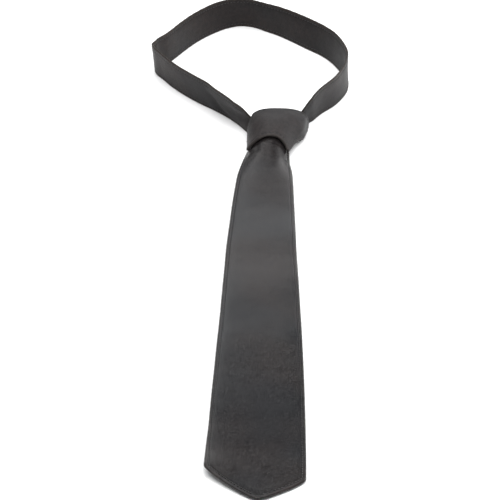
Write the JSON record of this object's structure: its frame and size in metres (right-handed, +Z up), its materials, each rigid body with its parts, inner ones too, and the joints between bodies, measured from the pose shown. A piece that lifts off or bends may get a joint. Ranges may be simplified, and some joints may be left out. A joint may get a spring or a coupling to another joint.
{
  "type": "leather necktie",
  "caption": "Dark leather necktie lying tied: long pointed front blade, tapered knot with an arched mouth, narrow tail under the blade, and a neck band standing on its edge in a loop.",
  "frame": {"origin": "on the surface the tie lies on, under the middle of its bounding box", "axes": "+Z up from the surface; +Y along the tie from the front blade's point towards the neck loop; +X to the right as seen from the blade's point"},
  "size_m": [0.1456, 0.602, 0.0245],
  "materials": {
    "blade_leather": "fine-grained, dyed charcoal, satin",
    "tail_leather": "fine-grained, dyed charcoal, satin",
    "knot_leather": "fine-grained, dyed charcoal, satin, creased where it wraps",
    "band_leather": "fine-grained, dyed charcoal, satin",
    "thread": "dark waxed sewing thread"
  },
  "bodies": {
    "root": {"front_blade": "blade_leather", "tail_blade": "tail_leather", "knot_wrap": "knot_leather", "knot_turn": "knot_leather", "neck_band": "band_leather"}
  },
  "joints": []
}
